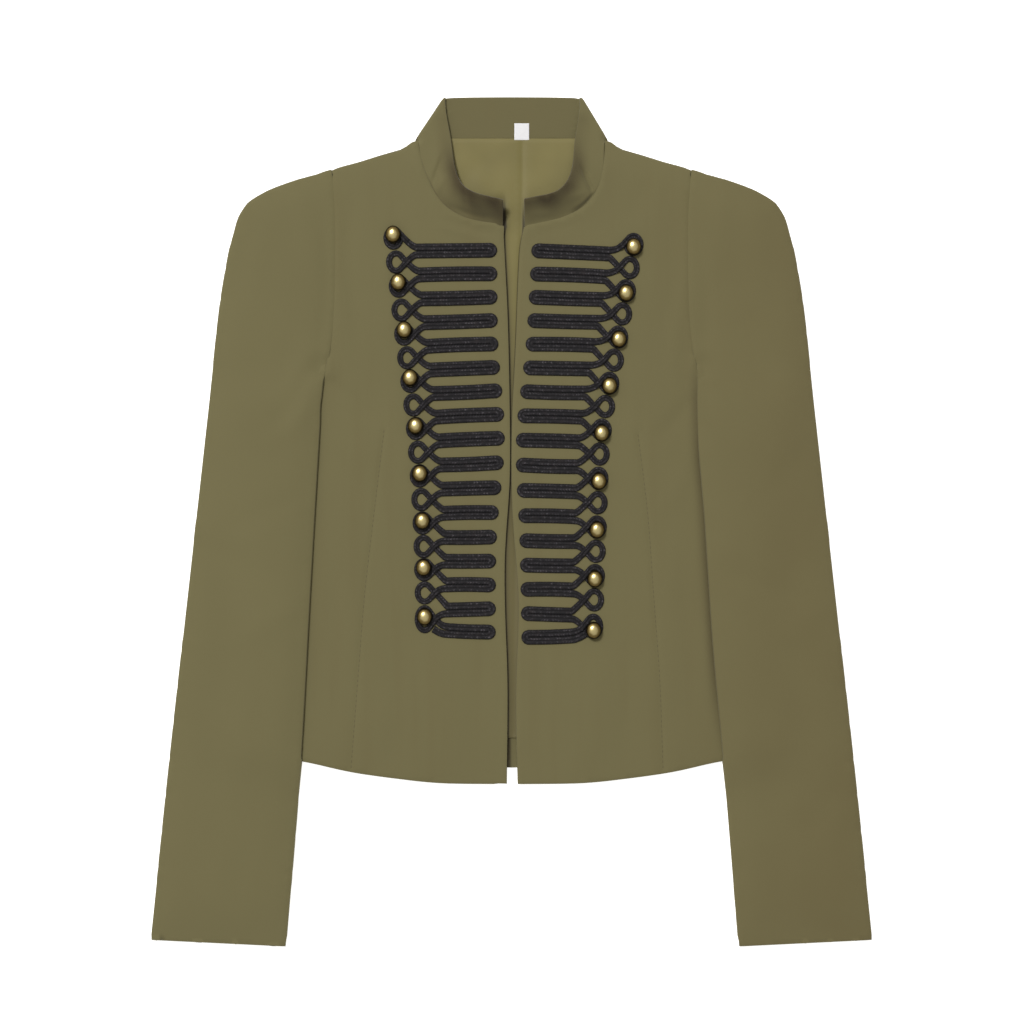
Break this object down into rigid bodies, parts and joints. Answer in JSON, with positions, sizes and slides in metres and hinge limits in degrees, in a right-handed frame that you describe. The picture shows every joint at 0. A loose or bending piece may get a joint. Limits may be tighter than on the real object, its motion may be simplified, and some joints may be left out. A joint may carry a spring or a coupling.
{
  "type": "short suit jacket",
  "caption": "Short olive jacket laid flat, with a stand collar, open front, long sleeves, looped black braid across both fronts and antique brass dome buttons.",
  "frame": {"origin": "centre of the bounding box on the surface that the jacket lies on", "axes": "+X to the wearer's left, which is the picture's right; +Y up the jacket to the collar; +Z off the surface, out of the front"},
  "size_m": [0.5764, 0.68, 0.0199],
  "materials": {
    "olive_suiting": "matt olive suiting with a fine twill",
    "olive_lining": "smooth lighter olive lining with a soft sheen",
    "black_braid": "black woven braid with a centre groove",
    "antique_brass": "antique brass, darker round the rim",
    "white_label": "blank white satin tape"
  },
  "bodies": {
    "root": {"back": "olive_suiting", "back_lining": "olive_lining", "collar": "olive_suiting", "label": "white_label", "front_right": "olive_suiting", "top_sleeve_right": "olive_suiting", "under_sleeve_right": "olive_suiting", "braid_right": "black_braid", "button_right_1": "antique_brass", "button_right_2": "antique_brass", "button_right_3": "antique_brass", "button_right_4": "antique_brass", "button_right_5": "antique_brass", "button_right_6": "antique_brass", "button_right_7": "antique_brass", "button_right_8": "antique_brass", "button_right_9": "antique_brass", "front_left": "olive_suiting", "top_sleeve_left": "olive_suiting", "under_sleeve_left": "olive_suiting", "braid_left": "black_braid", "button_left_1": "antique_brass", "button_left_2": "antique_brass", "button_left_3": "antique_brass", "button_left_4": "antique_brass", "button_left_5": "antique_brass", "button_left_6": "antique_brass", "button_left_7": "antique_brass", "button_left_8": "antique_brass", "button_left_9": "antique_brass"}
  },
  "joints": []
}
